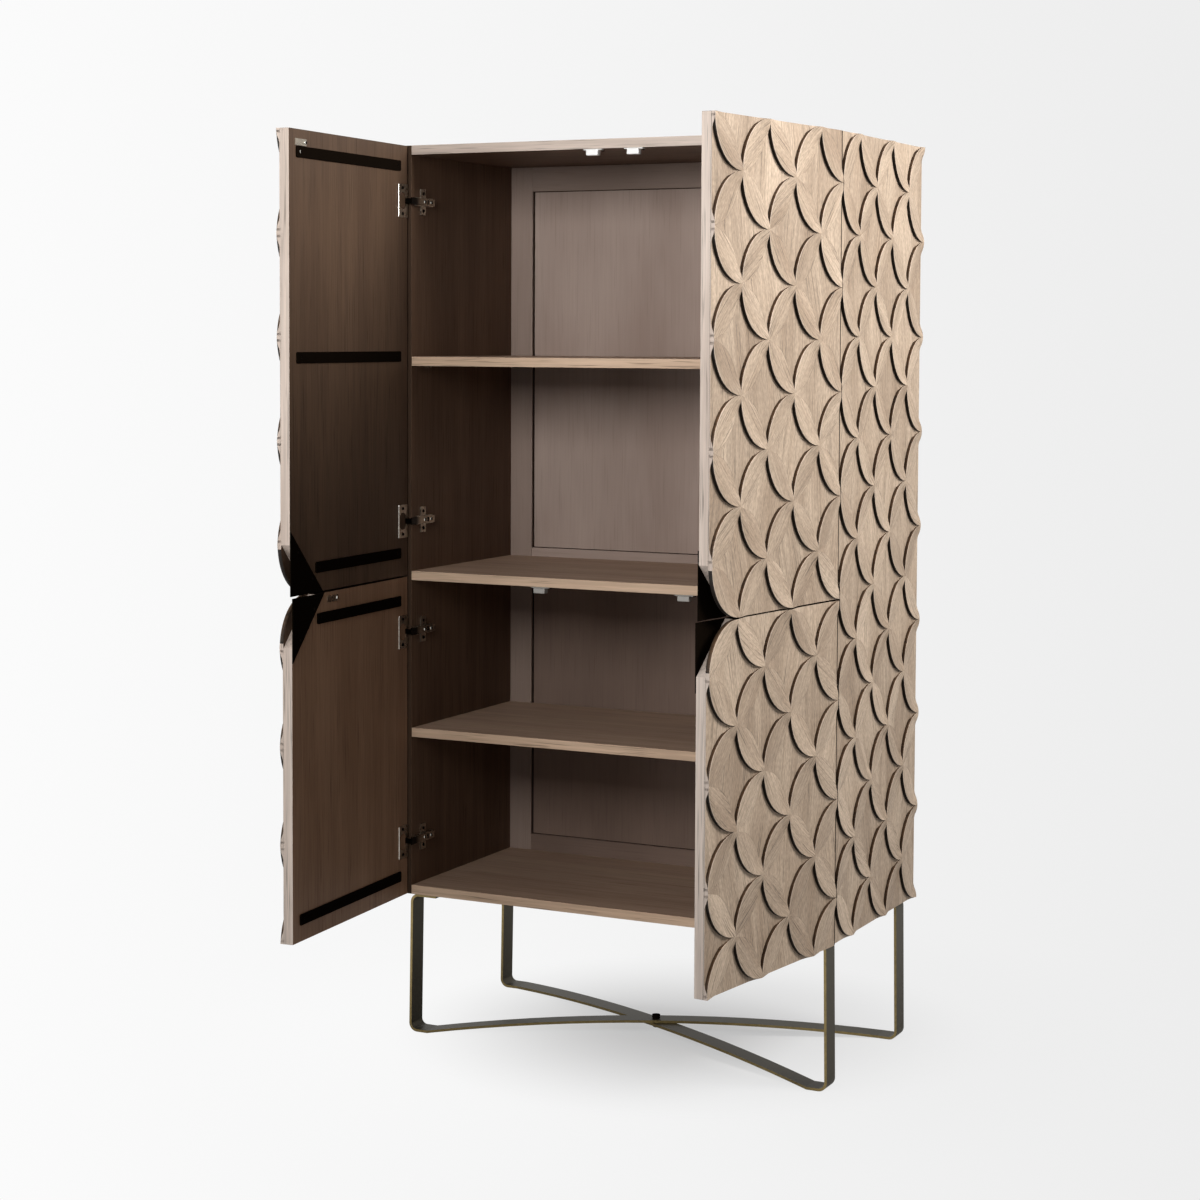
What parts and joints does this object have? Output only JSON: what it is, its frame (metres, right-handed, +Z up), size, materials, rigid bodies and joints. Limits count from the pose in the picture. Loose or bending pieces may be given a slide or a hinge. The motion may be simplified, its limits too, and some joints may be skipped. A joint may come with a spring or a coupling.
{
  "type": "storage cabinet",
  "caption": "Tall wooden cabinet with doors and sides carved in overlapping scales, shelves inside, concealed hinges, and crossed steel strap legs.",
  "frame": {"origin": "on the floor, at the middle of the footprint with the doors standing open", "axes": "+X to the cabinet's right as seen from the front, +Y from front to back, +Z up"},
  "size_m": [0.9215, 0.8908, 1.731],
  "materials": {
    "carved_wood": "washed taupe stain, carved, matt",
    "door_wood": "stained, matt",
    "case_wood": "stained, matt",
    "back_wood": "stained, matt",
    "leg_steel": "dark bronze with rubbed edges",
    "dark_steel": "black, satin",
    "hinge_steel": "nickel plated",
    "white_plastic": "moulded",
    "grey_plastic": "moulded"
  },
  "bodies": {
    "case": {"back_bottom_rail": "back_wood", "back_left_stile": "back_wood", "back_lower_panel": "back_wood", "back_middle_rail": "back_wood", "back_right_stile": "back_wood", "back_top_rail": "back_wood", "back_upper_panel": "back_wood", "bottom_panel": "case_wood", "case_screws": "hinge_steel", "crossing_bolt": "dark_steel", "crossing_nut": "dark_steel", "left_hinge_arms": "hinge_steel", "left_hinge_plates": "hinge_steel", "left_side_board": "case_wood", "left_side_carving": "carved_wood", "lower_catches": "grey_plastic", "lower_leg_strap": "leg_steel", "lower_shelf": "case_wood", "middle_shelf": "case_wood", "right_hinge_arms": "hinge_steel", "right_hinge_plates": "hinge_steel", "right_side_board": "case_wood", "right_side_carving": "carved_wood", "shelf_pins": "hinge_steel", "top_panel": "case_wood", "upper_catches": "white_plastic", "upper_leg_strap": "leg_steel", "upper_shelf": "case_wood"},
    "upper_left_door": {"upper_left_door_board": "door_wood", "upper_left_door_carving": "carved_wood", "upper_left_door_screws": "hinge_steel", "upper_left_hinge_cups": "hinge_steel", "upper_left_hinge_pins": "hinge_steel", "upper_left_pull_plate": "dark_steel", "upper_left_stiffener_bars": "dark_steel", "upper_left_strike_plate": "hinge_steel"},
    "upper_right_door": {"upper_right_door_board": "door_wood", "upper_right_door_carving": "carved_wood", "upper_right_door_screws": "hinge_steel", "upper_right_hinge_cups": "hinge_steel", "upper_right_hinge_pins": "hinge_steel", "upper_right_pull_plate": "dark_steel", "upper_right_stiffener_bars": "dark_steel", "upper_right_strike_plate": "hinge_steel"},
    "lower_left_door": {"lower_left_door_board": "door_wood", "lower_left_door_carving": "carved_wood", "lower_left_door_screws": "hinge_steel", "lower_left_hinge_cups": "hinge_steel", "lower_left_hinge_pins": "hinge_steel", "lower_left_pull_plate": "dark_steel", "lower_left_stiffener_bars": "dark_steel", "lower_left_strike_plate": "hinge_steel"},
    "lower_right_door": {"lower_right_door_board": "door_wood", "lower_right_door_carving": "carved_wood", "lower_right_door_screws": "hinge_steel", "lower_right_hinge_cups": "hinge_steel", "lower_right_hinge_pins": "hinge_steel", "lower_right_pull_plate": "dark_steel", "lower_right_stiffener_bars": "dark_steel", "lower_right_strike_plate": "hinge_steel"}
  },
  "joints": [
    {"name": "upper_left_swing", "type": "hinge", "parent": "case", "child": "upper_left_door", "pos_m": [-0.446, -0.001, 0.9], "axis": [0, 0, -1], "range_deg": [-86.5, 8.5]},
    {"name": "upper_right_swing", "type": "hinge", "parent": "case", "child": "upper_right_door", "pos_m": [0.446, -0.001, 0.9], "axis": [0, 0, 1], "range_deg": [-83, 12]},
    {"name": "lower_left_swing", "type": "hinge", "parent": "case", "child": "lower_left_door", "pos_m": [-0.446, -0.001, 0.9], "axis": [0, 0, -1], "range_deg": [-86, 9]},
    {"name": "lower_right_swing", "type": "hinge", "parent": "case", "child": "lower_right_door", "pos_m": [0.446, -0.001, 0.9], "axis": [0, 0, 1], "range_deg": [-82.5, 12.5]}
  ]
}
